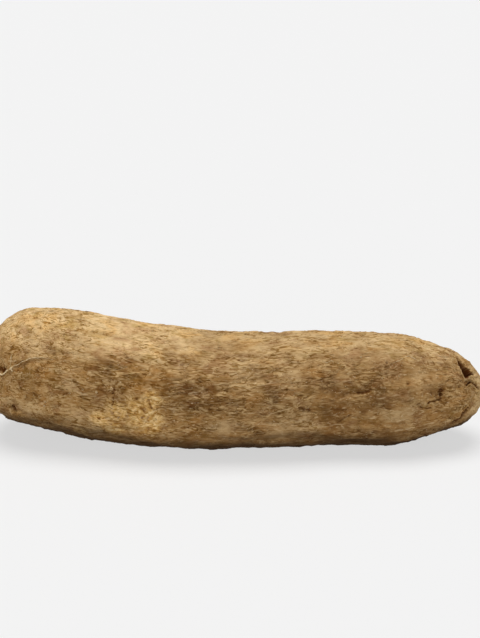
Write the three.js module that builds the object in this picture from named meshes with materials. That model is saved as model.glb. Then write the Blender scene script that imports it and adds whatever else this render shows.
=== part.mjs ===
// A whole yam tuber as dug and wiped, lying on a table. It is one grown piece: a long, slightly bent
// body of starchy flesh in a thin, corky brown skin that is fissured along its length. One end is blunt
// and bulges, with two pits where roots broke away. The other end tapers, and its skin is torn open
// beside the tip.
//
// Frame, in millimetres: +X runs along the tuber to the tapered end, +Y points to the back and +Z up.
// The origin is on the table, under the middle of the tuber.

import * as THREE from "three";
import { ImprovedNoise } from "three/addons/math/ImprovedNoise.js";
import { mergeVertices } from "three/addons/utils/BufferGeometryUtils.js";

// The body, station by station from the blunt end: the distance along the tuber, the radius there,
// and how far back and how high the middle of the section lies.
const STATIONS = [
  { x: -202, radius: 0, back: 17, height: 52 },
  { x: -199.5, radius: 17, back: 17.5, height: 52.8 },
  { x: -193, radius: 28.5, back: 18, height: 53.4 },
  { x: -186, radius: 36, back: 18.5, height: 54 },
  { x: -173, radius: 44.5, back: 19.9, height: 55.3 },
  { x: -157, radius: 48, back: 19.2, height: 55.4 },
  { x: -132, radius: 49.6, back: 15.5, height: 53.4 },
  { x: -95, radius: 50.4, back: 8.3, height: 49.4 },
  { x: -54, radius: 48.9, back: 1.6, height: 46.5 },
  { x: -9, radius: 46.8, back: -0.5, height: 44 },
  { x: 39, radius: 46.4, back: 1.9, height: 44.2 },
  { x: 87, radius: 44.9, back: 4.6, height: 43.2 },
  { x: 121, radius: 44.1, back: 4.2, height: 42.9 },
  { x: 139, radius: 41.9, back: 3, height: 42.9 },
  { x: 155, radius: 36.7, back: 2.6, height: 43.2 },
  { x: 169, radius: 32.4, back: 2.2, height: 42.8 },
  { x: 182, radius: 27.4, back: 2.2, height: 42.4 },
  { x: 190.5, radius: 20.6, back: 2, height: 41.8 },
  { x: 196.5, radius: 12.6, back: 1.8, height: 41 },
  { x: 200, radius: 0, back: 1.5, height: 40 },
];

// A section isn't quite round: it is a little wider than high, with three soft corners.
const SECTION_FLATNESS = 0.018;
const SECTION_CORNERS = 0.01;
const CORNER_TURN = 0.6;

// How finely the skin is faceted: how many times each edge of an icosahedron is split, and how much
// of the facets' even spacing along the tuber is given up to make them smaller at its two ends.
const FACET_DETAIL = 23;
const FINER_ENDS = 0.3;

// Swellings of the body, and the furrows that run along the skin. A furrow's floor is narrower than
// the ridges between, and the share is how much of its depth the skin is sunk on average.
const SWELLING = { height: 1.5, length: 70, width: 34 };
const FURROW = { depth: 1.4, length: 62, width: 15, narrowness: 9, share: 0.3 };

// Marks sunk in the skin. Each starts at a distance along the tuber and a number of degrees round it
// from the front, where 90 is the top. Pits stop there, and cracks run on to a second such place.
const MARKS = [
  // the tear beside the tip, and the cracks round it
  { from: [179, 66], to: [189, 60], width: 4.6, depth: 5 },
  { from: [185, 34], to: [193, 42], width: 3, depth: 2 },
  { from: [176, -34], to: [185, -10], width: 3, depth: 1.6 },
  { from: [154, 18], to: [164, 16], width: 3.4, depth: 1.6 },
  // root scars at the blunt end
  { from: [-181, 18], to: [-178, 18], width: 4.6, depth: 3.4 },
  { from: [-172, -25], to: [-170, -23], width: 3.8, depth: 2.6 },
  // a chipped scar, a furrow and a crack on the front
  { from: [53, 4], to: [59, 0], width: 4, depth: 1.8 },
  { from: [86, 14], to: [106, 23], width: 4, depth: 1.5 },
  { from: [-90, 15], to: [-91, -1], width: 3.5, depth: 1.3 },
  // scars over the top, the back and the underside
  { from: [-34, 112], to: [-20, 118], width: 4, depth: 1.8 },
  { from: [92, 150], to: [98, 152], width: 4.5, depth: 2.2 },
  { from: [-128, 188], to: [-122, 192], width: 5, depth: 2.6 },
  { from: [24, 212], to: [46, 206], width: 4, depth: 1.8 },
  { from: [176, 168], to: [180, 172], width: 4, depth: 2.4 },
  { from: [-186, 150], to: [-180, 132], width: 3.5, depth: 2 },
];

// The tuber's weight has pressed its underside flat. Relief fades out just above that flat spot.
const TABLE = 0;
const RELIEF_FADE = 6;

const noise = new ImprovedNoise();

// Both curves run through the same stations at the same steps, so one step gives a section's
// middle and its radius.
const spine = new THREE.CatmullRomCurve3(
  STATIONS.map((s) => new THREE.Vector3(s.x, s.back, s.height)),
  false,
  "catmullrom",
);
const girth = new THREE.CatmullRomCurve3(
  STATIONS.map((s) => new THREE.Vector3(s.x, s.radius, 0)),
  false,
  "catmullrom",
);

function sectionShape(angle) {
  const oval = SECTION_FLATNESS * Math.cos(2 * angle);
  return 1 + oval + SECTION_CORNERS * Math.cos(3 * angle + CORNER_TURN);
}

// A point of the smooth body: the step along the curves, and the angle from the front over the top.
function bodyPoint(step, angle) {
  const middle = spine.getPoint(step);
  const radius = Math.max(girth.getPoint(step).y, 0) * sectionShape(angle);
  middle.y -= radius * Math.cos(angle);
  middle.z += radius * Math.sin(angle);
  return middle;
}

// The point of the smooth body at a distance along the tuber and a number of degrees round it.
function pointAt([x, degrees]) {
  let low = 0;
  let high = 1;
  while (high - low > 1e-5) {
    const step = (low + high) / 2;
    if (spine.getPoint(step).x < x) low = step;
    else high = step;
  }
  return bodyPoint(low, THREE.MathUtils.degToRad(degrees));
}

const marks = MARKS.map(({ from, to, width, depth }) => ({
  line: new THREE.Line3(pointAt(from), pointAt(to)),
  width,
  depth,
}));
const nearest = new THREE.Vector3();

// How far the skin stands out from the smooth body at a point, in millimetres.
function relief(p) {
  const swelling = noise.noise(
    p.x / SWELLING.length,
    p.y / SWELLING.width,
    p.z / SWELLING.width,
  );
  const crease = Math.abs(
    noise.noise(p.x / FURROW.length, p.y / FURROW.width, p.z / FURROW.width),
  );
  const furrow = Math.pow(1 - crease, FURROW.narrowness) - FURROW.share;
  let height = SWELLING.height * swelling - FURROW.depth * furrow;
  for (const mark of marks) {
    mark.line.closestPointToPoint(p, true, nearest);
    const away = p.distanceTo(nearest) / mark.width;
    height -= mark.depth * Math.exp(-away * away);
  }
  return height * THREE.MathUtils.smoothstep(p.z, TABLE, TABLE + RELIEF_FADE);
}

// A ball drawn out along the spine. Each point keeps its turn round the X axis, and its share of the
// way from pole to pole becomes its share of the way over the skin.
function smoothBody() {
  let geometry = new THREE.IcosahedronGeometry(1, FACET_DETAIL);
  geometry.deleteAttribute("uv");
  geometry.deleteAttribute("normal");
  geometry = mergeVertices(geometry);
  const position = geometry.getAttribute("position");
  const p = new THREE.Vector3();
  for (let i = 0; i < position.count; i++) {
    p.fromBufferAttribute(position, i);
    const share = Math.acos(THREE.MathUtils.clamp(-p.x, -1, 1)) / Math.PI;
    const closer = (FINER_ENDS * Math.sin(2 * Math.PI * share)) / (2 * Math.PI);
    const step = girth.getUtoTmapping(share - closer);
    p.copy(bodyPoint(step, Math.atan2(p.z, -p.y)));
    position.setXYZ(i, p.x, p.y, p.z);
  }
  return geometry;
}

function tuberSkin() {
  const geometry = smoothBody();
  geometry.computeVertexNormals();
  const position = geometry.getAttribute("position");
  const normal = geometry.getAttribute("normal");
  const p = new THREE.Vector3();
  const outward = new THREE.Vector3();
  for (let i = 0; i < position.count; i++) {
    p.fromBufferAttribute(position, i);
    outward.fromBufferAttribute(normal, i);
    p.addScaledVector(outward, relief(p));
    position.setXYZ(i, p.x, p.y, Math.max(p.z, TABLE));
  }
  geometry.computeBoundingBox();
  const middle = geometry.boundingBox.getCenter(new THREE.Vector3());
  geometry.translate(-middle.x, -middle.y, 0);
  geometry.computeVertexNormals();
  return geometry;
}

const tuber = new THREE.Mesh(
  tuberSkin(),
  new THREE.MeshStandardMaterial({ color: 0xa88252, roughness: 0.9, metalness: 0 }),
);
tuber.name = "yam_tuber";

const yam = new THREE.Group();
yam.add(tuber);

export default yam;
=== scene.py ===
import math
import random

import bmesh
import bpy
import numpy as np
from mathutils import Matrix, Vector, noise
from mathutils.bvhtree import BVHTree
from mathutils.kdtree import KDTree


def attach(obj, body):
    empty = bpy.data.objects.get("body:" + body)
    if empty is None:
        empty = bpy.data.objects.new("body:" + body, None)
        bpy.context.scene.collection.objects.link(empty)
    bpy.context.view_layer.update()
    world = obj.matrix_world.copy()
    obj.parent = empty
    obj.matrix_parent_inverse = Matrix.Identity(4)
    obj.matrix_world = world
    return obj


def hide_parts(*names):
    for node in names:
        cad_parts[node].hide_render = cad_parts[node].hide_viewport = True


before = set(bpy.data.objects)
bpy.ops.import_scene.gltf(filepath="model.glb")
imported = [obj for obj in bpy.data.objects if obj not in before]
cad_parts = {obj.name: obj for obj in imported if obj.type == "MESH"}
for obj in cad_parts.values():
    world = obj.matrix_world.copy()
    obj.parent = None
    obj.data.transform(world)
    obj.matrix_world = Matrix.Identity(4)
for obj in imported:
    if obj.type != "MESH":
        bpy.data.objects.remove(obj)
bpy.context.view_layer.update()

# ---------------------------------------------------------------------------------------------
# The skin. A yam's skin is a layer of cork a millimetre or two thick, grown on the flesh. It can't
# stretch, so as the tuber swells it splits along its length into fissures and narrow plates, whose
# edges lift.

# What is on the skin is measured in millimetres, and placed by the distance along the tuber and the
# degrees round it from the front, where 90 is the top. The noise is seeded, so that it is the same
# each time.
MM = 0.001
BODY = "root"
TUBER = "yam_tuber"
NOISE_SEED = 1
noise.seed_set(NOISE_SEED)


def smoothstep(low, high, value):
    """A smooth climb from 0 at the low value to 1 at the high one."""
    share = min(max((value - low) / (high - low), 0), 1)
    return share * share * (3 - 2 * share)


def hump(distance, spread):
    """1 at no distance, and less and less over the spread."""
    return math.exp(-((distance / spread) ** 2))


def smooth_out(mesh, passes):
    """Rounds a mesh off, a little more with each pass."""
    for _ in range(passes):
        bmesh.ops.smooth_vert(
            mesh, verts=mesh.verts, factor=0.5, use_axis_x=True, use_axis_y=True, use_axis_z=True
        )


# The smooth form under the cork: the solid's facets, joined where their points are this close, each
# split in three along its edges and rounded off.
WELD = 0.001
FACET_CUTS = 2
FORM_PASSES = 18

form = bmesh.new()
form.from_mesh(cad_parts[TUBER].data)
bmesh.ops.scale(form, vec=Vector((1, 1, 1)) / MM, verts=form.verts)
bmesh.ops.remove_doubles(form, verts=form.verts, dist=WELD)
bmesh.ops.subdivide_edges(form, edges=form.edges, cuts=FACET_CUTS, use_grid_fill=True)
smooth_out(form, FORM_PASSES)
smooth_form = BVHTree.FromBMesh(form)
form_places = np.array([vertex.co[:] for vertex in form.verts])
form.free()


def find_middle_line(places, slices=25, slice_width=14, end_margin=8):
    """The tuber's two tips, and the middle of each slice of it between them."""
    tips = places[places[:, 0].argmin()], places[places[:, 0].argmax()]
    middles = [tips[0]]
    for along in np.linspace(tips[0][0] + end_margin, tips[1][0] - end_margin, slices):
        section = places[abs(places[:, 0] - along) < slice_width / 2]
        back, high = (section.min(0)[1:] + section.max(0)[1:]) / 2
        middles.append((along, back, high))
    return np.array([*middles, tips[1]])


middle_line = find_middle_line(form_places)


def middle_at(along):
    """The middle of the tuber at a distance along it."""
    stations, back, high = middle_line.T
    return Vector((along, np.interp(along, stations, back), np.interp(along, stations, high)))


# Farther from the tuber's middle than any of its skin.
OUTSIDE = 120


def on_form(along, degrees):
    """The place on the smooth form at a distance along the tuber and an angle round it."""
    angle = math.radians(degrees)
    outward = Vector((0, -math.cos(angle), math.sin(angle)))
    return smooth_form.ray_cast(middle_at(along) + outward * OUTSIDE, -outward)[0]


# The skin starts as a flat grid, which is wrapped round the form and closed at both tips. Its rings
# are evenly spread over the skin from tip to tip, and its steps are shorter round the tuber than along
# it, because the grain is long and narrow. The guides are places along the tuber, closest at its tips,
# where its radius and the way over the skin from the blunt tip are worked out.
ROUND_STEPS = 402
ALONG_STEPS = 190
SKIN_PASSES = 3
GUIDES = 240
GUIDE_TURNS = range(0, 360, 45)
TIP_GAP = 0.01

first, last = middle_line[0][0] + TIP_GAP, middle_line[-1][0] - TIP_GAP
guides = (first + last) / 2 - (last - first) / 2 * np.cos(np.linspace(0, math.pi, GUIDES))
radii = np.array(
    [np.mean([(on_form(x, d) - middle_at(x)).length for d in GUIDE_TURNS]) for x in guides]
)
travelled = np.cumsum(np.hypot(np.diff(guides, prepend=first), np.diff(radii, prepend=0)))
tip_to_tip = travelled[-1] + radii[-1]

skin = bmesh.new()
bmesh.ops.create_grid(skin, x_segments=ROUND_STEPS, y_segments=ALONG_STEPS, size=1)
ring_number = skin.verts.layers.int.new("ring")
for vertex in skin.verts:
    turn, share = (vertex.co.x + 1) / 2, (vertex.co.y + 1) / 2
    vertex[ring_number] = ring = round(share * ALONG_STEPS)
    if 0 < ring < ALONG_STEPS:
        along = np.interp(share * tip_to_tip, travelled, guides)
        vertex.co = on_form(along, 360 * turn)
    else:
        vertex.co = middle_line[0 if ring == 0 else -1]
bmesh.ops.remove_doubles(skin, verts=skin.verts, dist=WELD)
bmesh.ops.recalc_face_normals(skin, faces=skin.faces)
smooth_out(skin, SKIN_PASSES)

# Cracks and pits, each a path of places along and degrees round, with its width and depth.
CRACKS = [
    ([(-88.6, 15.5), (-88.4, 9), (-90.3, -1)], 1.7, 0.9),
    ([(-176.5, 12), (-173, 4.5), (-172.3, -4)], 0.8, 0.5),
    ([(-162.2, 3.2), (-159.2, -0.4), (-155.3, -2.6), (-150.5, -1)], 1.1, 0.8),
    ([(140.7, 4.4), (146.2, 7.1)], 0.9, 0.9),
    ([(146.8, 2.6), (148.7, 0.7), (155.1, -0.5)], 1.1, 1.1),
    ([(153, 5.2), (154.3, 7.1), (159.9, 6.5), (163.1, 8.8), (163.9, 15.3)], 1.2, 1.2),
    ([(182.5, -24), (184.6, -14), (185.5, -8)], 2.8, 2.6),
    ([(184.8, 31), (186.6, 36), (189.3, 41.5)], 1.6, 1.6),
    ([(189.3, 41.5), (191.5, 41), (194.2, 38.5), (196.5, 34)], 2.4, 2.4),
    ([(93, -4), (82.5, -14)], 0.9, 0.6),
    ([(-55, 73), (-47, 79)], 1.0, 0.9),
    ([(-61.6, 8), (-60, 1)], 1.6, 0.8),
    ([(-99, -28), (-90, -26), (-81.7, -23)], 0.9, 0.5),
    ([(54.2, 4), (56.5, 2), (58.8, 2.4), (61, 1)], 2.1, 0.9),
    ([(108.5, 20.5), (104, 19), (98.5, 17.5)], 2.2, 1.2),
]
PITS = [
    ([(-179.6, 20), (-175.8, 17.8)], 3.6, 1.9),
    ([(-169.4, -22.4), (-168.9, -25.4)], 3.8, 2.8),
    ([(-167.4, -31.7)], 2.5, 1.3),
    ([(-144, 22)], 1.9, 1.2),
    ([(-119, 69)], 1.6, 1.0),
    ([(-78.4, -9.1)], 2.0, 1.2),
    ([(-63, -8.3)], 1.8, 1.0),
    ([(-70.8, 7.5)], 2.4, 1.0),
    ([(-105, -26.5)], 1.8, 1.1),
    ([(120.5, 49.5)], 1.9, 1.4),
    ([(136.7, 27.7)], 2.2, 1.2),
    ([(155.9, 17.3)], 2.4, 1.0),
    ([(164.1, 20), (163.9, 15.5)], 3.4, 1.0),
    ([(178.4, 28)], 2.2, 1.3),
    ([(175.5, -31.5), (179.8, -28.5), (182.8, -22)], 4.4, 1.4),
]
# The sides that the chosen marks leave bare have others like them, strewn by chance.
STREWN_CRACKS = {"count": 26, "length": (6, 15), "slant": 0.25, "width": (0.8, 1.3), "depth": (0.6, 1.3)}
STREWN_PITS = {"count": 16, "width": (1.5, 2.8), "depth": (0.7, 1.8)}
STREWN_ALONG = (-182, 186)
STREWN_ROUND = (85, 300)
STREWN_SEED = 5

chance = random.Random(STREWN_SEED)
for _ in range(STREWN_CRACKS["count"]):
    along, degrees = chance.uniform(*STREWN_ALONG), chance.uniform(*STREWN_ROUND)
    length = chance.uniform(*STREWN_CRACKS["length"])
    slant = chance.gauss(0, STREWN_CRACKS["slant"]) * length
    path = [(along, degrees), (along + length / 2, degrees + slant), (along + length, degrees)]
    width, depth = (chance.uniform(*STREWN_CRACKS[size]) for size in ("width", "depth"))
    CRACKS.append((path, width, depth))
for _ in range(STREWN_PITS["count"]):
    along, degrees = chance.uniform(*STREWN_ALONG), chance.uniform(*STREWN_ROUND)
    width, depth = (chance.uniform(*STREWN_PITS[size]) for size in ("width", "depth"))
    PITS.append(([(along, degrees)], width, depth))

# Wide shallow hollows, and raised wavy strands of cork.
HOLLOWS = [
    ([(-177, 22)], 4.2, 1.6),
    ([(-170, 16), (-163.5, 22), (-156, 27), (-149, 28.5)], 2.4, 0.9),
    ([(54.8, 5.4), (57.6, 4)], 2.4, 0.9),
    ([(109, 29), (105, 24.5), (99, 19.5), (92, 16)], 3.0, 1.4),
    ([(88, 17), (80, 21), (72, 22)], 3.6, 0.9),
    ([(152, 22), (160, 14)], 5.0, 0.9),
    ([(163.6, 26)], 3.6, 1.0),
    ([(163.8, 21), (163.6, 15)], 3.0, 0.7),
    ([(60, 30), (76, 26)], 6.0, 0.6),
]
STRANDS = [
    ([(-50, 3), (-44, 2), (-38, 5), (-31, 5)], 0.9, 0.45),
    ([(-54, -14), (-46, -13), (-36, -9), (-27, -10)], 0.9, 0.45),
    ([(-2, -1), (6, 1), (15, 0), (24, 1)], 0.9, 0.5),
    ([(8, -14), (20, -13), (36, -12), (48, -11), (61, -8)], 0.9, 0.45),
    ([(52, 7), (45, 3), (37, 1), (28, -2)], 1.0, 0.5),
    ([(62, -16), (75, -17), (88, -15)], 0.9, 0.4),
    ([(-20, -20), (-5, -22), (12, -21)], 0.9, 0.35),
    ([(54, 9.5), (51.2, 7), (52.5, 2), (56.5, -1.2), (61, -2)], 0.8, 0.3),
    ([(-172.2, -27), (-172, -31), (-171.2, -37)], 1.4, 0.7),
    ([(119.5, -16.3), (123.5, -17)], 1.7, 0.5),
    ([(129.5, -11.5), (134, -10.4)], 1.9, 0.5),
    ([(128.5, -25.6), (134, -24.4)], 1.7, 0.45),
    ([(137, -24.5), (142, -23.4)], 2.0, 0.45),
]
# The middle of the torn hole at the tapered end, and how far it and its raised edge reach from there.
TEAR_MIDDLE = Vector((185, -19, 64))
TEAR_REACH = 14

# The steps between the rings are split again where the skin needs finer detail.
FINE_CUTS = 2
FINE_MARGIN = 2.2
FINE_SPACING = 2


def find_points(mesh):
    """A tree that finds the mesh's points near a place."""
    mesh.verts.ensure_lookup_table()
    tree = KDTree(len(mesh.verts))
    for i, vertex in enumerate(mesh.verts):
        tree.insert(vertex.co, i)
    tree.balance()
    return tree


def path_samples(path, spacing):
    """Places on the form along a path over it, about as far apart as the spacing."""
    corners = [on_form(*corner) for corner in path]
    samples = corners[:1]
    for start, end in zip(corners, corners[1:]):
        steps = math.ceil((end - start).length / spacing)
        samples += [start.lerp(end, (k + 1) / steps) for k in range(steps)]
    return samples


points = find_points(skin)
fine = {i for _, i, _ in points.find_range(TEAR_MIDDLE, TEAR_REACH)}
for path, width, _ in CRACKS + PITS + STRANDS:
    for sample in path_samples(path, FINE_SPACING):
        fine.update(i for _, i, _ in points.find_range(sample, 2 * width + FINE_MARGIN))
fine_edges = [
    edge
    for edge in skin.edges
    if edge.verts[0][ring_number] != edge.verts[1][ring_number]
    and any(vertex.index in fine for vertex in edge.verts)
]
bmesh.ops.subdivide_edges(skin, edges=fine_edges, cuts=FINE_CUTS, use_grid_fill=True)
smooth_out(skin, 1)
skin.normal_update()
points = find_points(skin)

# What each point of the skin is like: how far it stands out, and how much it is part of a worn
# crest, with painted highlights on the ledges' lips, a dark crevice, with painted shade at each ledge's
# foot, a cut such as a crack or a pit, darkened partly as painted shade, or a hollow darkened with
# painted shade, a pale fibre, an ochre patch where the outer cork is rubbed off, a grey patch, a place
# worn smoother, or the torn hole. The tone is each plate's own, from dark at -1 to pale at 1, and so
# are the stains. Facing is 1 where the skin faces up, and -1 where it faces down. Dry soil dusts the
# upper side, and the very tip is paler, partly as painted light. Toward that tapered end the cork is
# browner and less dusted, partly as painted shadow over the middle and the tapered half. The grain is
# the point's place in the cork's patterns.
count = len(skin.verts)
height = np.zeros(count)
facing, dust_and_tip_light, browned_and_shadowed, stained, worn, tone = np.zeros((6, count))
crest, crevice, cut, fibre, ochre, grey, torn = np.zeros((7, count))
grain = np.zeros((count, 3))

# The relief's patterns, each with its length along the tuber and its width round it. A shift takes a
# pattern to a part of the noise of its own. The detail is what a fractal noise is given: how fast its
# finer layers fade, how much finer each one is, and how many there are.
SWELL = {"length": 34, "width": 15, "height": 0.5, "detail": (0.8, 2.2, 2)}
RIPPLE = {"length": 12, "width": 6, "height": 0.35}
# Plates, with gaps between them that come and go. Each plate has a height and a tone of its own, from
# a noise at its centre, and is crowned, over an edge that is a few gaps wide. The finer ones have no
# gaps in calm places.
PLATES = [
    {"length": 7.6, "width": 3.4, "height": 0.3, "gap": 0.12, "open": 0.7},
    {"length": 4.2, "width": 2.3, "height": 0.12, "gap": 0.2, "open": 0.3},
]
PLATE_CHANGE = 5.3
PLATE_CROWN = 0.6
PLATE_TONE = 0.5
PLATE_EDGE = 3
GAP_DEPTH = 0.4
GAPS_SHOWN = {"length": 9, "width": 4.5, "shift": (3, 9, 1), "from": 0.0, "to": 0.3}
CALM = {"length": 40, "width": 22, "shift": (5, 2, 8), "from": -0.1, "to": 0.3}
# The outer cork has come away in thin layers, which end in long wavy ledges. A ledge's parts are
# shares of the way from one layer's edge to the next. Its lip is painted pale as a highlight and its
# foot painted dark as shade.
LAYER = {"detail": (0.9, 2.3, 3)}
LAYERS = [
    {**LAYER, "length": 32, "width": 12, "shift": (7, 3, 5), "thickness": 0.35, "steps": 3.0},
    {**LAYER, "length": 15, "width": 6.5, "shift": (23, 3, 5), "thickness": 0.3, "steps": 3.2},
]
LEDGE = {"rise": 0.22, "lip": 0.55, "foot": 0.7, "dark": 0.65}
LEDGES_SHOWN = {"length": 9, "width": 4.5, "shift": (4, 7, 2), "from": -0.25, "to": 0.15}
# Pale fibres: the thin crests of a wavy pattern.
FIBRE = {"length": 18, "width": 5, "shift": (1, 6, 4), "height": 0.3, "edge": 0.93, "crest": 0.99}
FIBRES_SHOWN = {"length": 9, "width": 4.5, "shift": (8, 2, 6), "from": 0.0, "to": 0.3}
# Lumps on the ochre patches.
LUMP = {"length": 3.4, "width": 2.8, "height": 0.7}
# How far the grain wanders off its line, and over what length it does.
WANDER = {"size": 6, "reach": 1.9}
# The plates and ledges are lower where the cork is worn, and toward the blunt end.
WORN_SMOOTHER = 0.55
BLUNT_SMOOTHER = 0.4
BLUNT_END = (-125, -165)

# Dry soil lies where the skin faces up enough, unevenly, with less of it where the cork is browner, a
# lessening that is painted shadow, and on the very tip, where its paleness is partly painted light.
# The brown sets in along the tuber, at a wandering edge, and is less at the tip; it is partly browner
# cork and partly painted shadow.
DUST = {"length": 18, "width": 10, "detail": (0.7, 2.2, 4), "uneven": 0.16}
DUSTED = (0.50, 1.14)
DUST_LESS_UNDER_PAINTED_SHADOW = 0.38
TIP_DUSTED_AND_LIT = (182, 199)
TIP_DUST_AND_LIGHT = 0.6
BROWNED_AND_SHADOWED = {"along": (-75, 25), "wander": 25, "size": 45, "tip": (115, 160), "less": 0.5}

# The grain runs along the tuber, and is short and mottled at the blunt end.
MOTTLED_FROM = -128
MOTTLED_SHORTER = 0.9


def grain_place(spot):
    """A spot's place in the grain: measured from the middle line, so as to follow the bend."""
    place = spot - middle_at(spot.x)
    place.x = spot.x - MOTTLED_SHORTER * max(MOTTLED_FROM - spot.x, 0)
    return place


def stretched(place, size):
    """A place in a pattern that is drawn out along the grain."""
    scaled = (place.x / size["length"], place.y / size["width"], place.z / size["width"])
    return Vector(scaled) + Vector(size.get("shift", (0, 0, 0)))


def strayed(place, stray):
    """A place moved off by a noise."""
    return place + noise.noise_vector(place / stray["size"]) * stray["reach"]


def cloud(place, size):
    """A cloudy noise at a place in the grain."""
    return noise.fractal(stretched(place, size), *size["detail"])


def shown(place, size):
    """How much of a thing that comes and goes along the grain shows at a place, from 0 to 1."""
    return smoothstep(size["from"], size["to"], noise.noise(stretched(place, size)))


def roughen(i, place, along):
    """Raises the plates, ledges, ripples, lumps and fibres at a place in the grain."""
    wavy = strayed(place, WANDER)
    smoother = (1 - WORN_SMOOTHER * worn[i]) * (1 - BLUNT_SMOOTHER * smoothstep(*BLUNT_END, along))
    gaps_shown = shown(place, GAPS_SHOWN)
    for size in PLATES:
        (nearest, next_nearest, _, _), (centre, _, _, _) = noise.voronoi(stretched(wavy, size))
        from_edge = next_nearest - nearest
        own = noise.noise(centre * PLATE_CHANGE)
        inside = smoothstep(0, PLATE_EDGE * size["gap"], from_edge)
        gap = size["open"] * (1 - smoothstep(0, size["gap"], from_edge)) * gaps_shown
        height[i] += smoother * size["height"] * (own + PLATE_CROWN * inside - PLATE_CROWN)
        height[i] -= smoother * GAP_DEPTH * gap
        tone[i] += PLATE_TONE * own * inside
        crevice[i] = max(crevice[i], gap * smoother)
        gaps_shown *= shown(place, CALM)
    ledges_shown = shown(place, LEDGES_SHOWN)
    for size in LAYERS:
        layers = cloud(wavy, size) * size["steps"]
        whole = math.floor(layers)
        part = layers - whole
        rise = smoothstep(0, LEDGE["rise"], part)
        height[i] += smoother * size["thickness"] * (whole + rise)
        # The lip is painted pale as a highlight, and the foot dark as shade.
        lip = rise * (1 - smoothstep(LEDGE["rise"], LEDGE["lip"], part)) * ledges_shown
        crest[i] = max(crest[i], smoother * lip)
        foot = smoothstep(LEDGE["foot"], 1, part) * ledges_shown
        crevice[i] = max(crevice[i], LEDGE["dark"] * smoother * foot)
    height[i] += noise.noise(stretched(wavy, RIPPLE)) * RIPPLE["height"]
    height[i] += cloud(place, SWELL) * SWELL["height"]
    height[i] += noise.noise(stretched(wavy, LUMP)) * LUMP["height"] * ochre[i]
    ridge = 1 - abs(noise.noise(stretched(wavy, FIBRE)))
    fibre[i] = smoothstep(FIBRE["edge"], FIBRE["crest"], ridge)
    fibre[i] *= shown(place, FIBRES_SHOWN)
    height[i] += FIBRE["height"] * fibre[i]


# Patches: along, degrees, and their radius, besides those that a coarse noise makes all over.
OCHRE_PATCHES = [
    (-69, -8, 25),
    (-86, -8, 16),
    (-60, 9, 11),
    (-100, -16, 13),
    (-90, -24, 15),
    (-60, -20, 13),
    (-118, -42, 12),
]
GREY_PATCHES = [
    (-96, 27, 14),
    (-12, 18, 16),
    (34, 13, 10),
    (76, 28, 10),
    (120, 10, 12),
]
WORN_PLACES = [
    (0, -30, 26),
    (40, -30, 28),
    (75, -25, 22),
    (-22, -38, 22),
    (84, 8, 26),
    (112, 12, 22),
    (128, -15, 30),
    (140, 35, 30),
    (100, 55, 26),
    (-88, 78, 24),
    (-40, 72, 30),
    (10, 75, 30),
]
PATCH = {"length": 30, "width": 24, "detail": (0.7, 2.2, 4)}
OCHRE = {**PATCH, "shift": (2, 4, 9), "strewn": 0.3}
GREY = {**PATCH, "shift": (6, 1, 3), "strewn": 0.8}
WORN = {**PATCH, "shift": (9, 5, 2), "strewn": 0.8}
PATCH_SHOWN = (0.25, 0.85)
PATCH_REACH = 1.2
PATCH_STRENGTH = 0.9
# Stains: along, degrees, their radius, and how much darker or, above 0, how much paler they are.
STAINS = [
    (-98, 22, 13, -0.9),
    (-86, 16, 9, -0.6),
    (-84, 2, 7, -0.5),
    (-118, 30, 12, -0.3),
    (-99, 51, 8, -0.7),
    (-81, 56, 10, -0.4),
    (-44, 28, 9, -0.6),
    (-42, 9, 9, -0.8),
    (-36, 24, 12, -0.7),
    (-35, -34, 13, -0.8),
    (-24, 8, 12, -1.4),
    (-2, 7, 13, -1.5),
    (30, 8, 8, -0.7),
    (74, 3, 10, -1.1),
    (78, -35, 14, -1.0),
    (87, 13, 9, -0.7),
    (104, 24, 9, -1.0),
    (105, -32, 14, -1.0),
    (118, 14, 12, -0.7),
    (124, -27, 8, -0.7),
    (150, -20, 9, -0.6),
    (161, -3, 8, -0.7),
    (173, -20, 8, -0.6),
    (163, 14, 9, -0.5),
    (-160, -16, 20, 0.4),
    (-155, 46, 17, 0.8),
    (-124, 44, 9, 1.0),
    (-112, 36, 9, 0.8),
    (-149, -18, 9, 0.5),
    (-99, -25, 8, 0.6),
    (-75, -18, 7, 0.6),
    (-122, -14, 14, 0.5),
    (-106, 76, 14, 0.7),
    (-5, -16, 12, 1.1),
    (7, 27, 12, 0.9),
    (10, 43, 9, 0.5),
    (15, 54, 13, 0.8),
    (24, -2, 8, 0.5),
    (38, -21, 15, 0.6),
    (49, 28, 8, 0.8),
    (57, -12, 12, 0.5),
    (93, 33, 9, 0.7),
    (100, -10, 13, 0.5),
    (124, -3, 9, 0.9),
    (126, 28, 8, 0.6),
    (137, 0, 8, 0.5),
    (147, 32, 14, 0.7),
    # These four pale the tapered tip, partly as painted light.
    (189.5, 79, 5, 1.0),
    (194, 50, 8, 1.4),
    (197, 12, 9, 1.3),
    (194, -14, 8, 0.9),
]
STAIN = {"length": 42, "width": 20, "shift": (5, 8, 3), "detail": (0.7, 2.2, 3), "strength": 0.7}
STAIN_FRAY = {"size": 6, "share": 0.5}
STAIN_REACH = 2.5


def on_form_all(patches):
    """The patches with each one's place on the form instead of its distance and degrees."""
    return [(on_form(along, degrees), *rest) for along, degrees, *rest in patches]


def patched(place, spot, size, patches):
    """How much of a kind of patch a spot has: by a coarse noise all over, and near chosen places."""
    inside = 0
    for centre, radius in patches:
        inside = max(inside, PATCH_REACH - (spot - centre).length / radius)
    amount = cloud(place, size) * size["strewn"] + inside * PATCH_STRENGTH
    return smoothstep(*PATCH_SHOWN, amount)


def add_up_stains(place, spot):
    """How stained a spot is: by a coarse noise all over, and by the chosen stains with frayed edges."""
    total = STAIN["strength"] * cloud(place, STAIN)
    fray = 1 + STAIN_FRAY["share"] * noise.noise(place / STAIN_FRAY["size"])
    for centre, radius, amount in stain_places:
        distance = (spot - centre).length * fray
        if distance < STAIN_REACH * radius:
            total += amount * hump(distance, radius)
    return max(-1, min(1, total))


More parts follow.
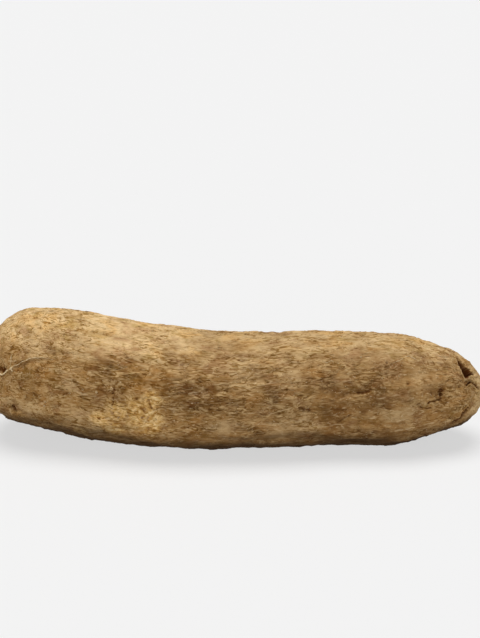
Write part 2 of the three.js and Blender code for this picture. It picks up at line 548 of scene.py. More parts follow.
ochre_places, grey_places = on_form_all(OCHRE_PATCHES), on_form_all(GREY_PATCHES)
worn_places, stain_places = on_form_all(WORN_PLACES), on_form_all(STAINS)
for i, vertex in enumerate(skin.verts):
    place = grain_place(vertex.co)
    grain[i] = place
    facing[i] = vertex.normal.z
    wander = BROWNED_AND_SHADOWED["wander"] * noise.noise(place / BROWNED_AND_SHADOWED["size"])
    browned_and_shadowed[i] = smoothstep(*BROWNED_AND_SHADOWED["along"], vertex.co.x + wander)
    browned_and_shadowed[i] *= 1 - BROWNED_AND_SHADOWED["less"] * smoothstep(*BROWNED_AND_SHADOWED["tip"], vertex.co.x)
    uneven = facing[i] + DUST["uneven"] * cloud(place, DUST)
    dust_and_tip_light[i] = smoothstep(*DUSTED, uneven) * (1 - DUST_LESS_UNDER_PAINTED_SHADOW * browned_and_shadowed[i])
    # Paler on the very tip, partly as painted light.
    dust_and_tip_light[i] = max(dust_and_tip_light[i], TIP_DUST_AND_LIGHT * smoothstep(*TIP_DUSTED_AND_LIT, vertex.co.x))
    worn[i] = patched(place, vertex.co, WORN, worn_places)
    ochre[i] = patched(place, vertex.co, OCHRE, ochre_places)
    grey[i] = patched(place, vertex.co, GREY, grey_places)
    stained[i] = add_up_stains(place, vertex.co)
    roughen(i, place, vertex.co.x)

# Next the chosen and strewn marks are cut in or raised. How far a mark reaches, where its wall is, and
# where its lip is and how far it spreads are shares of the mark's width. The lip's height is a share
# of its depth, up to a deepest. Paths stray a little from their line, and edges are frayed.
PATH_STRAY = {"size": 4.5, "reach": 0.9}
CUT_REACH = 3
CUT_FRAY = {"size": 1.5, "share": 0.55}
WALL = (0.25, 0.75)
LIP = {"at": 1.2, "spread": 0.5, "height": 0.15, "deepest": 1.5, "cover": 0.6}
SOFT_REACH = 2
HOLLOW_FRAY = {"size": 4, "share": 0.4}
HOLLOW_SPACING = 2
STRAND_SPREAD = 0.6
# How dark the marks are painted, where 1 is darkest, and partly painted shade: a crack more so where
# it is deeper, and a pit where it is wider. A hollow's darkening is all painted shade.
CRACK_DARK = {"least": 0.52, "deeper": 0.17}
PIT_FULLY_DARK = 4.4
HOLLOW_PAINTED_SHADE = 0.4


def near_path(path, reach, spacing=0.5):
    """The skin's points within reach of a path over it, each with its distance from the path."""
    distances = {}
    for sample in path_samples(path, spacing):
        for _, i, distance in points.find_range(strayed(sample, PATH_STRAY), reach):
            distances[i] = min(distance, distances.get(i, reach))
    return distances


def frayed(distance, i, fray):
    """A point's distance from a mark, made more or less by a noise, which frays the mark's edge."""
    return distance * (1 + fray["share"] * noise.noise(skin.verts[i].co / fray["size"]))


def sink(path, width, depth, dark):
    """Sinks a crack or a pit into the skin, with a low swollen lip round it."""
    for i, distance in near_path(path, CUT_REACH * width).items():
        away = frayed(distance, i, CUT_FRAY)
        hole = 1 - smoothstep(WALL[0] * width, WALL[1] * width, away)
        lip = hump(away - LIP["at"] * width, LIP["spread"] * width)
        height[i] += -depth * hole + LIP["height"] * min(depth, LIP["deepest"]) * lip
        crevice[i] *= 1 - max(LIP["cover"] * lip, hole)
        # The hole is darkened, partly as painted shade.
        cut[i] = max(cut[i], dark * hole)


for path, width, depth in CRACKS:
    sink(path, width, depth, min(1, CRACK_DARK["least"] + CRACK_DARK["deeper"] * depth))
for path, width, depth in PITS:
    sink(path, width, depth, min(1, width / PIT_FULLY_DARK))
for path, width, depth in HOLLOWS:
    for i, distance in near_path(path, SOFT_REACH * width, HOLLOW_SPACING).items():
        hollow = hump(frayed(distance, i, HOLLOW_FRAY), width)
        height[i] -= depth * hollow
        # The hollow is darkened with painted shade.
        cut[i] = max(cut[i], HOLLOW_PAINTED_SHADE * hollow)
for path, width, rise in STRANDS:
    for i, distance in near_path(path, SOFT_REACH * width).items():
        strand = hump(distance, STRAND_SPREAD * width)
        height[i] += rise * strand
        fibre[i] = max(fibre[i], strand)
        crevice[i] *= 1 - strand

# The tear: a three-cornered hole with steep ragged walls, where a flap of skin has broken away. The
# skin stands up round it, and it is open to the brown, fibrous inner cork, painted darker still as
# shade in the deep hole. Its wall, its lip and where the cork is bare are measured inward from its
# edge.
TEAR_CORNERS = [(178.4, 76), (190.6, 64.5), (183.6, 45)]
TEAR_FRAYS = [{"size": 2.8, "reach": 1.5}, {"size": 1.1, "reach": 0.6}]
TEAR_WALL = (-0.2, 0.7)
TEAR_LIP = {"at": -1.3, "spread": 0.9, "height": 0.7}
TEAR_BARE = (-0.7, -0.1)
TEAR_DEPTH = 9
TEAR_FLOOR = {"size": 2.1, "height": 1.4}
TEAR_SMOOTHER = 0.5

tear_corners = [on_form(*corner) for corner in TEAR_CORNERS]
tear_across = (tear_corners[1] - tear_corners[0]).normalized()
tear_inward = tear_across.cross(tear_corners[2] - tear_corners[0]).normalized()
if tear_inward.dot(TEAR_MIDDLE - middle_at(TEAR_MIDDLE.x)) > 0:
    tear_inward.negate()


def inside_tear(place):
    """How far a place lies inside the tear's nearest edge, or outside it where negative."""
    least = TEAR_REACH
    for k in range(3):
        start, end, opposite = (tear_corners[(k + turn) % 3] for turn in range(3))
        inward = tear_inward.cross(end - start).normalized()
        if inward.dot(opposite - start) < 0:
            inward.negate()
        least = min(least, inward.dot(place - start))
    return least


tear_drop = {}
for place, i, _ in points.find_range(TEAR_MIDDLE, TEAR_REACH):
    inside = inside_tear(place)
    for fray in TEAR_FRAYS:
        inside += fray["reach"] * noise.noise(place / fray["size"])
    hole = smoothstep(*TEAR_WALL, inside)
    lip = hump(inside - TEAR_LIP["at"], TEAR_LIP["spread"])
    floor_lumps = TEAR_FLOOR["height"] * noise.noise(place / TEAR_FLOOR["size"])
    tear_drop[i] = hole * (TEAR_DEPTH + floor_lumps)
    height[i] += TEAR_LIP["height"] * lip - TEAR_SMOOTHER * hole * height[i]
    crest[i] = max(crest[i], lip)
    torn[i] = smoothstep(*TEAR_BARE, inside)
    crevice[i] *= 1 - torn[i]

# The relief fades out over this height above the table, because the skin is pressed flat there.
TABLE_FADE = (0.3, 4.0)

for i, vertex in enumerate(skin.verts):
    lift = height[i] * smoothstep(*TABLE_FADE, vertex.co.z)
    vertex.co += vertex.normal * lift + tear_inward * tear_drop.get(i, 0)
    vertex.co.z = max(vertex.co.z, 0)
# Flakes and roots are laid on this tree later. Flakes take their colours from a corner of the face
# that they lie on.
finished_skin = BVHTree.FromBMesh(skin)
face_corners = np.array([face.verts[0].index for face in skin.faces])
bmesh.ops.scale(skin, vec=Vector((1, 1, 1)) * MM, verts=skin.verts)

SKIN_MARKS = {
    "facing": facing,
    "dust_and_tip_light": dust_and_tip_light,
    "browned_and_shadowed": browned_and_shadowed,
    "stained": stained,
    "worn": worn,
    "tone": tone,
    "crest": crest,
    "crevice": crevice,
    "cut": cut,
    "fibre": fibre,
    "ochre": ochre,
    "grey": grey,
    "torn": torn,
}


def make_mesh(name, shape):
    """Turns a finished bmesh into a mesh of this name, and frees it."""
    mesh = bpy.data.meshes.new(name)
    shape.to_mesh(mesh)
    shape.free()
    return mesh


def add_object(name, data):
    """Puts an object of this name in the scene: a mesh, a curve, a lamp or a camera."""
    added = bpy.data.objects.new(name, data)
    bpy.context.scene.collection.objects.link(added)
    return added


def mark_cork(mesh, marks, grain_places):
    """Puts what the cork is like at each point on a mesh, for its colours to read."""
    for name, amounts in marks.items():
        mesh.attributes.new(name, "FLOAT", "POINT").data.foreach_set("value", amounts)
    grain_mark = mesh.attributes.new("grain", "FLOAT_VECTOR", "POINT")
    grain_mark.data.foreach_set("vector", grain_places.ravel())


skin_mesh = make_mesh("yam_skin", skin)
skin_mesh.shade_smooth()
mark_cork(skin_mesh, SKIN_MARKS, grain)
skin_piece = add_object("yam_skin", skin_mesh)


def linear(hex_colour):
    """An sRGB hex colour as the linear colour that Blender works in."""
    channels = [int(hex_colour[i : i + 2], 16) / 255 for i in (1, 3, 5)]
    return [c / 12.92 if c <= 0.04045 else ((c + 0.055) / 1.055) ** 2.4 for c in channels] + [1]


def add_node(tree, kind, sockets, output=0, **settings):
    """Adds a node with its settings and links, and returns one of its outputs. A socket is given a
    value, or the output that feeds it."""
    node = tree.nodes.new("ShaderNode" + kind)
    for name, value in settings.items():
        setattr(node, name, value)
    for name, value in sockets.items():
        if isinstance(value, bpy.types.NodeSocket):
            tree.links.new(value, node.inputs[name])
        else:
            node.inputs[name].default_value = value
    return node.outputs[output]


# The two colour inputs of a Mix node, and its colour output.
COLOUR_A, COLOUR_B, COLOUR_OUT = 6, 7, 2

# Corky skin: dead, dry cork cells, weathered in the soil and never polished. It is quite matt, with a
# brown that changes from patch to patch, pale where it is worn and dark where it has split. Some of
# its colour is painted light and shade: painted shade on the underside, in hollows, cracks, pits, the
# torn hole and at the foot of each ledge, a painted shadow over the middle, and painted highlights on
# ledge lips, beside fissures and on the tip. Its cells are far too small to show, so the finest
# pattern here, the specks, stands for clusters of them.
cork = bpy.data.materials.new("corky_skin")
cork.use_nodes = True
tree = cork.node_tree
shader = tree.nodes["Principled BSDF"]
shader.inputs["Roughness"].default_value = 0.9
shader.inputs["IOR"].default_value = 1.45
shader.inputs["Specular IOR Level"].default_value = 0.08

# The patterns in the colour. The grain mark is a place in millimetres, with X along the tuber, and
# each pattern has its length along the grain, its width across it, its detail and its roughness.
PATTERNS = {
    "warmth": (22, 13, 2, 0.5),
    "moss": (15, 10, 2, 0.5),
    "cluster": (14, 8, 4, 0.6),
    "mottle": (7, 4.5, 5, 0.6),
    "streaks": (5.0, 2.4, 4, 0.58),
    "granules": (4.6, 3.6, 4, 0.6),
    "specks": (2.3, 1.3, 3, 0.6),
}
PATTERN_APART = 17
grain_vector = add_node(tree, "Attribute", {}, "Vector", attribute_name="grain")
pattern = {}
for shift, (name, (length, width, detail, roughness)) in enumerate(PATTERNS.items()):
    sockets = {
        "Vector": grain_vector,
        "Location": (PATTERN_APART * shift, 0, 0),
        "Scale": (1 / length, 1 / width, 1 / width),
    }
    vector = add_node(tree, "Mapping", sockets)
    sockets = {"Vector": vector, "Scale": 1, "Detail": detail, "Roughness": roughness}
    pattern[name] = add_node(tree, "TexNoise", {**sockets, "Distortion": 0.35})
for name in SKIN_MARKS:
    pattern[name] = add_node(tree, "Attribute", {}, "Fac", attribute_name=name)

# Fissures, painted dark as shadow lines, and the lifted edge along one side of each, painted pale as a
# highlight: lines of an even width that wander along the grain where a noise crosses its middle. A
# place's distance from one, in millimetres, is the noise's value there over its slope, which is its
# change over a short step. Each set of lines has its length and width in the noise, the width of its
# fissures and of their lifted edges, and another pattern, with the value where they are absent and
# the one where they are plain. A fissure's painted shadow is darkest over its core.
SLOPE_STEP = 0.3
FISSURE_CORE = 0.25
FISSURES = {
    "ledges": (25, 6.0, 0.50, 1.6, "cluster", 0.40, 0.56),
    "dashes": (11.5, 3.6, 0.45, 1.1, "mottle", 0.42, 0.56),
}
for name, (length, width, dark, pale, where, absent, plain) in FISSURES.items():
    scale = (1 / length, 1 / width, 1 / width)
    values = []
    for step in [(0, 0, 0), (0, SLOPE_STEP / width, 0), (0, 0, SLOPE_STEP / width)]:
        sockets = {"Vector": grain_vector, "Location": step, "Scale": scale}
        vector = add_node(tree, "Mapping", sockets)
        sockets = {"Vector": vector, "Scale": 1, "Detail": 2, "Roughness": 0.5, "Distortion": 0.4}
        values.append(add_node(tree, "TexNoise", sockets))
    changes = [add_node(tree, "Math", {0: v, 1: values[0]}, operation="SUBTRACT") for v in values[1:]]
    change = add_node(tree, "CombineXYZ", {"Y": changes[0], "Z": changes[1]})
    change = add_node(tree, "VectorMath", {0: change}, output="Value", operation="LENGTH")
    above = add_node(tree, "Math", {0: values[0], 1: 0.5}, operation="SUBTRACT")
    away = add_node(tree, "Math", {0: above, 1: change}, operation="DIVIDE")
    away = add_node(tree, "Math", {0: away, 1: SLOPE_STEP}, operation="MULTIPLY")
    near = add_node(tree, "Math", {0: away}, operation="ABSOLUTE")
    sockets = {"Value": pattern[where], "From Min": absent, "From Max": plain}
    share = add_node(tree, "MapRange", sockets, interpolation_type="SMOOTHSTEP")
    sockets = {"Value": pattern["worn"], "To Min": 1, "To Max": 1 - WORN_SMOOTHER}
    kept = add_node(tree, "MapRange", sockets)
    share = add_node(tree, "Math", {0: share, 1: kept}, operation="MULTIPLY")
    sockets = {"Value": near, "From Min": dark, "From Max": dark * FISSURE_CORE}
    line = add_node(tree, "MapRange", sockets, interpolation_type="SMOOTHSTEP")
    pattern[name] = add_node(tree, "Math", {0: line, 1: share}, operation="MULTIPLY")
    sockets = {"Value": away, "From Min": pale, "From Max": dark}
    edge = add_node(tree, "MapRange", sockets, interpolation_type="SMOOTHSTEP")
    sockets = {"Value": away, "From Min": 0, "From Max": dark}
    rise = add_node(tree, "MapRange", sockets, interpolation_type="SMOOTHSTEP")
    edge = add_node(tree, "Math", {0: edge, 1: rise}, operation="MULTIPLY")
    pattern[name + " lifted"] = add_node(tree, "Math", {0: edge, 1: share}, operation="MULTIPLY")

# The coats of colour, each over the last: the pattern it follows, where it starts and where it is
# full, how much of it shows there, how it lies on what is under it, its colour, and the patches
# that it keeps to, if any.
BASE_BROWN = "#a67f4c"
COATS = [
    ("browned_and_shadowed", 0.0, 1.0, 1.00, "MULTIPLY", "#ebe7e2", None),  # browner toward the tapered end, partly as painted shadow
    ("dust_and_tip_light", 0.0, 1.0, 1.00, "MIX", "#f0d09d", None),  # on the upper side, and on the very tip, partly as painted light
    ("warmth", 0.50, 0.66, 1.00, "MULTIPLY", "#fff3dc", None),  # golden cork
    ("warmth", 0.48, 0.34, 1.00, "MULTIPLY", "#e2d4cd", None),  # old mauve-brown cork
    ("moss", 0.52, 0.68, 1.00, "MULTIPLY", "#d8d0b1", None),  # olive cast
    ("moss", 0.46, 0.32, 0.20, "MIX", "#cfa977", None),  # bare pale cork
    ("stained", 0.0, -1.0, 1.00, "MULTIPLY", "#cfc3ab", None),  # darker patches
    ("stained", 0.0, 1.0, 0.45, "MIX", "#dbbd8e", None),  # dry pale places
    ("ochre", 0.0, 1.0, 0.80, "MIX", "#daac63", None),  # rubbed patches
    ("granules", 0.49, 0.60, 0.85, "MIX", "#f7d89f", "ochre"),  # and their bright grains
    ("granules", 0.47, 0.34, 1.00, "MULTIPLY", "#a08050", "ochre"),  # with dirt between
    ("grey", 0.0, 1.0, 1.00, "MULTIPLY", "#dbd5cf", None),  # grey patches
    ("mottle", 0.54, 0.70, 0.20, "MIX", "#dcb780", None),  # pale mottling
    ("mottle", 0.46, 0.30, 1.00, "MULTIPLY", "#e0d4c0", None),  # dark mottling
    ("tone", 0.05, 0.45, 0.18, "MIX", "#e0bf8c", None),  # pale plates
    ("tone", -0.05, -0.45, 1.00, "MULTIPLY", "#ebe1d2", None),  # dark plates
    ("streaks", 0.53, 0.72, 0.19, "MIX", "#e6c692", None),  # worn ridges
    ("streaks", 0.47, 0.30, 1.00, "MULTIPLY", "#dbcdb5", None),  # dirt along the grain
    ("fibre", 0.0, 1.0, 0.50, "MIX", "#dfc296", None),  # fibres and strands
    ("crest", 0.0, 1.0, 0.38, "MIX", "#e6c692", None),  # worn ledges, with a painted highlight on each ledge's lip
    ("ledges lifted", 0.0, 1.0, 0.24, "MIX", "#e6c48e", None),  # painted highlight on the edges beside long fissures
    ("ledges", 0.0, 1.0, 1.00, "MULTIPLY", "#c8b794", None),  # long fissures, painted dark as shadow lines
    ("dashes lifted", 0.0, 1.0, 0.18, "MIX", "#e6c48e", None),  # painted highlight on the edges beside short ones
    ("dashes", 0.0, 1.0, 1.00, "MULTIPLY", "#cdbf9f", None),  # short fissures, painted dark as shadow lines
    ("crevice", 0.1, 1.0, 1.00, "MULTIPLY", "#bfac88", None),  # gaps between plates, and painted shade at the foot of each ledge
    ("browned_and_shadowed", 0.0, 1.0, 0.07, "MIX", "#8c7656", None),  # a film of soil there too, partly as painted shadow
    ("cut", 0.0, 1.0, 1.00, "MULTIPLY", "#8f6324", None),  # cracks and pits, darkened partly as painted shade, and hollows, as painted shade
    ("specks", 0.62, 0.74, 0.52, "MIX", "#f2dab0", None),  # bright chips
    ("facing", -0.25, -0.85, 0.95, "MIX", "#34210e", None),  # painted shade: the skin darkened where it faces down
]
colour = linear(BASE_BROWN)
for name, start, full, most, lies, tint, patches in COATS:
    sockets = {"Value": pattern[name], "From Min": start, "From Max": full, "To Max": most}
    share = add_node(tree, "MapRange", sockets, interpolation_type="SMOOTHSTEP")
    if patches:
        share = add_node(tree, "Math", {0: share, 1: pattern[patches]}, operation="MULTIPLY")
    sockets = {0: share, COLOUR_A: colour, COLOUR_B: linear(tint)}
    colour = add_node(tree, "Mix", sockets, COLOUR_OUT, data_type="RGBA", blend_type=lies)
# Inside the torn hole: brown inner cork, painted darker as shade.
sockets = {0: pattern["mottle"], COLOUR_A: linear("#341503"), COLOUR_B: linear("#7d4a22")}
inner_cork_and_shade = add_node(tree, "Mix", sockets, COLOUR_OUT, data_type="RGBA")
sockets = {0: pattern["torn"], COLOUR_A: colour, COLOUR_B: inner_cork_and_shade}
colour = add_node(tree, "Mix", sockets, COLOUR_OUT, data_type="RGBA")
tree.links.new(colour, shader.inputs["Base Color"])

# What is too fine for the mesh, in millimetres: fissures cut in, and ridges and grit raised.
BUMPS = {"ledges": -0.15, "dashes": -0.12, "streaks": 0.4, "specks": 0.25}
bump = None
for name, rise in BUMPS.items():
    sockets = {"Height": pattern[name], "Strength": 0.7, "Distance": rise * MM}
    if bump:
        sockets["Normal"] = bump
    bump = add_node(tree, "Bump", sockets)
tree.links.new(bump, shader.inputs["Normal"])
skin_mesh.materials.append(cork)

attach(skin_piece, BODY)
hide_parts(TUBER)

# ---------------------------------------------------------------------------------------------
# The flakes. Where the outer cork has dried and split, small thin chips of it lift at one end and
# hold on at the other. They are the same cork as the skin, rubbed pale along the lifted edge.

FLAKE_COUNT = 2400
FLAKE_SIDES = 8
FLAKE_LENGTH = (2.0, 6.0)
FLAKE_WIDTH = (0.9, 2.2)
FLAKE_THICKNESS = (0.22, 0.4)
FLAKE_LIFT = (0.1, 0.45)
FLAKE_SUNK = 0.1
FLAKE_TOP = 0.42
FLAKE_RAGGED = (0.7, 1.15)
FLAKE_TURN = 16
FLAKE_TURN_AT_BLUNT_END = 50
FLAKES_ALONG = (-192, 192)
FLAKE_TONE = (-0.3, 0.8)
FLAKE_RUBBED = 0.6
FLAKE_SEED = 11
# Flakes are in patches: there is none where a noise of this size is under a level drawn by chance.
FLAKE_PATCH = 22
FLAKE_LEVELS = (-0.5, 0.5)
# Nothing stands on the skin lower than this above the table, where the tuber rests.
UNDERSIDE_CLEAR = 4
# The grain runs along the tuber, or upward at the tips, where the skin crosses the tuber so squarely
# that less than this share of the way along lies in it.
LEAST_ALONG = 0.1


def on_skin(along, degrees):
    """The place on the finished skin, the way out of it there, and the way along its grain."""
    place, outward, _, _ = finished_skin.find_nearest(on_form(along, degrees))
    forward = Vector((1, 0, 0)) - outward * outward.x
    if forward.length < LEAST_ALONG:
        forward = Vector((0, 0, 1)) - outward * outward.z
    return place, outward, forward.normalized()


# One flake to copy, a millimetre long, wide and thick.
chip = bmesh.new()
bmesh.ops.create_cone(
    chip, cap_ends=True, segments=FLAKE_SIDES, radius1=0.5, radius2=FLAKE_TOP, depth=1
)
chip_points = len(chip.verts)
chip_mesh = make_mesh("chip", chip)

chance = random.Random(FLAKE_SEED)
flakes = bmesh.new()
beneath, flake_tone, flake_crest = [], [], []
while len(beneath) < FLAKE_COUNT * chip_points:
    place, outward, forward = on_skin(chance.uniform(*FLAKES_ALONG), chance.uniform(0, 360))
    if place.z < UNDERSIDE_CLEAR:
        continue
    if noise.noise(place / FLAKE_PATCH) < chance.uniform(*FLAKE_LEVELS):
        continue
    length, width = chance.uniform(*FLAKE_LENGTH), chance.uniform(*FLAKE_WIDTH)
    thickness, lift = chance.uniform(*FLAKE_THICKNESS), chance.uniform(*FLAKE_LIFT)
    spread = FLAKE_TURN_AT_BLUNT_END if place.x < MOTTLED_FROM else FLAKE_TURN
    turn = chance.gauss(0, spread) + chance.choice((0, 180))
    forward = Matrix.Rotation(math.radians(turn), 3, outward) @ forward
    across = outward.cross(forward)
    ragged = [chance.uniform(*FLAKE_RAGGED) for _ in range(FLAKE_SIDES)]
    tone_here = chance.uniform(*FLAKE_TONE)
    flakes.from_mesh(chip_mesh)
    flakes.verts.ensure_lookup_table()
    for vertex in flakes.verts[-chip_points:]:
        side = round(math.atan2(vertex.co.y, vertex.co.x) / math.tau * FLAKE_SIDES) % FLAKE_SIDES
        from_root = vertex.co.x * ragged[side] + 0.5
        flat = place + forward * (from_root - 0.5) * length + across * vertex.co.y * width
        under, normal, face, _ = finished_skin.find_nearest(flat)
        high = (vertex.co.z + 0.5) * thickness + lift * from_root**2 - FLAKE_SUNK
        vertex.co = (under + normal * high) * MM
        beneath.append(face_corners[face])
        flake_tone.append(tone_here)
        flake_crest.append(FLAKE_RUBBED * smoothstep(0.5, 1.0, from_root))

flake_mesh = make_mesh("bark_flakes", flakes)
bpy.data.meshes.remove(chip_mesh)
flake_marks = {name: amounts[beneath] for name, amounts in SKIN_MARKS.items()}
bare = np.zeros(len(beneath))
flake_marks.update(tone=flake_tone, crest=flake_crest, crevice=bare, cut=bare, fibre=bare)
mark_cork(flake_mesh, flake_marks, grain[beneath])
flake_mesh.materials.append(cork)
flake_piece = add_object("bark_flakes", flake_mesh)
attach(flake_piece, BODY)

# ---------------------------------------------------------------------------------------------
# The root threads. A yam grows thin feeding roots out of its skin. When it is dug they break off
# short and dry against it as pale wiry threads, thickest where they leave the skin.

ROOT_TAPER = 0.35
ROOT_STEP = 1.3
ROOT_STRAY = {"size": 3, "reach": 1.0}
ROOT_LIFT = 0.7
# The threads, each a path like a crack's, with its radius.
THREADS = [
    ([(-180, 18), (-177, 13.4), (-172.8, 17.8), (-166.8, 22.4), (-159.6, 27.6)], 0.7),
    ([(-160.5, 27.2), (-154.9, 30.1), (-150.2, 31.7), (-143.9, 32.3), (-136, 31)], 0.5),
    ([(-168.9, 17.6), (-169.4, 26.8), (-168.8, 34)], 0.55),
]
# The others are strewn by chance over the top and the back, and none reaches as far as the tear.
STREWN_THREADS = 46
THREAD_LENGTH = (8, 30)
THREAD_RADIUS = (0.16, 0.34)
THREAD_SLANT = 0.9
THREADS_NEAR_BLUNT_END = 0.5
THREADS_FROM = {"blunt end": (-196, -120), "rest": (-120, 165)}
THREADS_WITHIN = (-198, 172)
THREADS_ROUND = (50, 225)
THREAD_BENDS = 3
THREAD_SEED = 12

chance = random.Random(THREAD_SEED)
for k in range(STREWN_THREADS):
    where = "blunt end" if k < STREWN_THREADS * THREADS_NEAR_BLUNT_END else "rest"
    along = chance.uniform(*THREADS_FROM[where])
    degrees = chance.uniform(*THREADS_ROUND)
    length, way = chance.uniform(*THREAD_LENGTH), chance.choice((-1, 1))
    path = [(along, degrees)]
    for _ in range(THREAD_BENDS):
        along += way * length / THREAD_BENDS
        along = min(max(along, THREADS_WITHIN[0]), THREADS_WITHIN[1])
        degrees += chance.gauss(0, THREAD_SLANT) * length / THREAD_BENDS
        path.append((along, degrees))
    THREADS.append((path, chance.uniform(*THREAD_RADIUS)))

threads = bpy.data.curves.new("root_threads", "CURVE")
threads.dimensions = "3D"
threads.bevel_depth = MM
threads.bevel_resolution = 1
threads.resolution_u = 2
threads.use_fill_caps = True
for path, radius in THREADS:
    samples = path_samples(path, ROOT_STEP)
    spline = threads.splines.new("NURBS")
    spline.points.add(len(samples) - 1)
    spline.use_endpoint_u = True
    spline.order_u = 4
    for k, sample in enumerate(samples):
        place, outward, _, _ = finished_skin.find_nearest(strayed(sample, ROOT_STRAY))
        share = k / (len(samples) - 1)
        spline.points[k].radius = radius * (1 - (1 - ROOT_TAPER) * share)
        lifted = radius * ROOT_LIFT if k else -radius
        spline.points[k].co = (*((place + outward * lifted) * MM), 1)

# Dried root: a dead, woody root. It is dry and nearly matt, straw-coloured with browner streaks, and
# darker in its pith, which is seen only where a root has broken across.
root = bpy.data.materials.new("dried_root")
root.use_nodes = True
tree = root.node_tree
shader = tree.nodes["Principled BSDF"]
shader.inputs["Roughness"].default_value = 0.8
shader.inputs["Specular IOR Level"].default_value = 0.1
STREAK_SIZE = 2.5
place = add_node(tree, "TexCoord", {}, "Object")
sockets = {"Vector": place, "Scale": 1 / (STREAK_SIZE * MM), "Detail": 3}
streaky = add_node(tree, "TexNoise", sockets)
sockets = {"Value": streaky, "From Min": 0.35, "From Max": 0.65}
share = add_node(tree, "MapRange", sockets, interpolation_type="SMOOTHSTEP")
sockets = {0: share, COLOUR_A: linear("#ab8b5c"), COLOUR_B: linear("#e6cfa4")}
colour = add_node(tree, "Mix", sockets, COLOUR_OUT, data_type="RGBA")
pith = add_node(tree, "Attribute", {}, "Fac", attribute_name="pith")
sockets = {0: pith, COLOUR_A: colour, COLOUR_B: linear("#86633c")}
colour = add_node(tree, "Mix", sockets, COLOUR_OUT, data_type="RGBA")
tree.links.new(colour, shader.inputs["Base Color"])
bump = add_node(tree, "Bump", {"Height": streaky, "Strength": 0.5, "Distance": 0.2 * MM})
tree.links.new(bump, shader.inputs["Normal"])
threads.materials.append(root)
thread_piece = add_object("root_threads", threads)
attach(thread_piece, BODY)

# ---------------------------------------------------------------------------------------------
# The root stubs: what is left where a root broke off flush with the skin, a short woody collar with
# the darker pith showing at its middle.

STUB_SIDES = 8
STUB_RADIUS = (0.45, 0.85)
STUB_HEIGHT = (0.5, 1.1)
STUB_UNEVEN = (0.85, 1.15)
# Shares of the stub's width and height.
STUB_FOOT = 0.6
STUB_TOP = 0.45
STUB_RIM = 0.26
STUB_HOLLOW = 0.15
STUB_RAISED = 0.2
# The stubs, along and degrees, and others strewn by chance where these leave the skin bare.
STUBS = [
    (-160.7, 16.9),
    (-138.3, 22.7),
    (-142.6, -8.9),
    (-143.6, -13.2),
    (-125.1, 7.4),
    (-122.8, 3.9),
    (-149.4, -21.9),
    (-112.6, 9.4),
    (-102, 9.4),
    (-90.4, 13.9),
    (-56.5, -9.8),
    (-85.5, -11.6),
    (99.9, -1.2),
    (132.4, -5.7),
    (130, 35.9),
    (116.9, 34.3),
    (101.3, 56.6),
]
STREWN_STUBS = 60
STUBS_ALONG = (-190, 188)
STUBS_ROUND = (60, 285)
STUB_SEED = 13

chance = random.Random(STUB_SEED)
for _ in range(STREWN_STUBS):
    STUBS.append((chance.uniform(*STUBS_ALONG), chance.uniform(*STUBS_ROUND)))

# One stub to copy, about a millimetre wide and high.
stub = bmesh.new()
pith_layer = stub.verts.layers.float.new("pith")
bmesh.ops.create_cone(
    stub, cap_ends=True, segments=STUB_SIDES, radius1=STUB_FOOT, radius2=STUB_TOP, depth=1
)
top = max(stub.faces, key=lambda face: face.normal.z)
bmesh.ops.inset_individual(stub, faces=[top], thickness=STUB_RIM, depth=-STUB_HOLLOW)
for vertex in top.verts:
    vertex[pith_layer] = 1
stub_points = len(stub.verts)
stub_mesh = make_mesh("stub", stub)

stubs = bmesh.new()
for along, degrees in STUBS:
    place, outward, forward = on_skin(along, degrees)
    if place.z < UNDERSIDE_CLEAR:
        continue
    wide, high = chance.uniform(*STUB_RADIUS), chance.uniform(*STUB_HEIGHT)
    stubs.from_mesh(stub_mesh)
    stubs.verts.ensure_lookup_table()
    for vertex in stubs.verts[-stub_points:]:
        x, y, z = vertex.co
        spot = place + forward * x * 2 * wide + outward.cross(forward) * y * 2 * wide
        vertex.co = (spot + outward * (z + STUB_RAISED) * high * chance.uniform(*STUB_UNEVEN)) * MM
stubs_mesh = make_mesh("root_stubs", stubs)
bpy.data.meshes.remove(stub_mesh)
stubs_mesh.materials.append(root)
stub_piece = add_object("root_stubs", stubs_mesh)
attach(stub_piece, BODY)

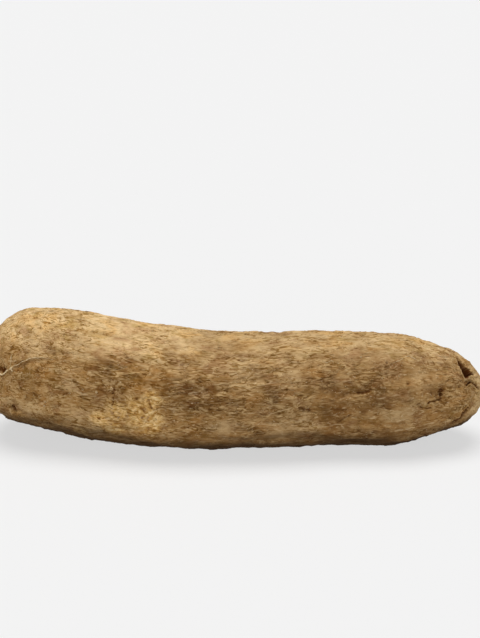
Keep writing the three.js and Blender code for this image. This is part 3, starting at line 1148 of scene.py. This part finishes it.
# ---------------------------------------------------------------------------------------------
# The table: a plain pale board that the tuber lies on, wide enough to fill the view behind it. It is
# made of matt-painted board, in one sheet.

TABLE_SIZE = 18

bpy.ops.mesh.primitive_plane_add(size=TABLE_SIZE)
table = bpy.context.object
table.name = "table"

# Matt board: flat paint with no sheen. Much of its paleness is a glow of its own, so that shadows on
# it are faint, and it stays pale right up to the tuber.
board = bpy.data.materials.new("matt_board")
board.use_nodes = True
shader = board.node_tree.nodes["Principled BSDF"]
shader.inputs["Base Color"].default_value = linear("#8c8c8c")
shader.inputs["Roughness"].default_value = 0.9
shader.inputs["Emission Color"].default_value = linear("#ffffff")
shader.inputs["Emission Strength"].default_value = 0.61
table.data.materials.append(board)

# ---------------------------------------------------------------------------------------------
# The light: a broad soft lamp overhead, a little behind and to the left, a weaker one low in front,
# and a dim pale room. Each lamp has its strength, how many degrees across it is, and how it is turned
# from straight down.

LAMPS = {"overhead": (2.6, 40, (-4, -3, 0)), "front": (0.8, 60, (82, 0, -10))}
for name, (energy, spread, turned) in LAMPS.items():
    lamp_data = bpy.data.lights.new(name, "SUN")
    lamp_data.energy = energy
    lamp_data.angle = math.radians(spread)
    lamp = add_object(name, lamp_data)
    lamp.rotation_euler = [math.radians(degrees) for degrees in turned]

room = bpy.data.worlds.new("room")
room.use_nodes = True
background = room.node_tree.nodes["Background"]
background.inputs["Color"].default_value = linear("#ffffff")
background.inputs["Strength"].default_value = 0.16
bpy.context.scene.world = room
bpy.context.scene.view_settings.view_transform = "Standard"

# ---------------------------------------------------------------------------------------------
# The camera: a long lens held level across, which looks down on the front of the tuber from far
# enough to take in nearly all of it. Distances are in metres.

VIEW_HEIGHT_DEGREES = 20
LENS = 85
DISTANCE = 1.185
AIM = Vector((0.0078, 0, 0.1003))

down = math.radians(VIEW_HEIGHT_DEGREES)
camera = add_object("camera", bpy.data.cameras.new("camera"))
camera.data.lens = LENS
camera.location = AIM + Vector((0, -math.cos(down), math.sin(down))) * DISTANCE
camera.rotation_euler = (math.pi / 2 - down, 0, 0)
bpy.context.scene.camera = camera
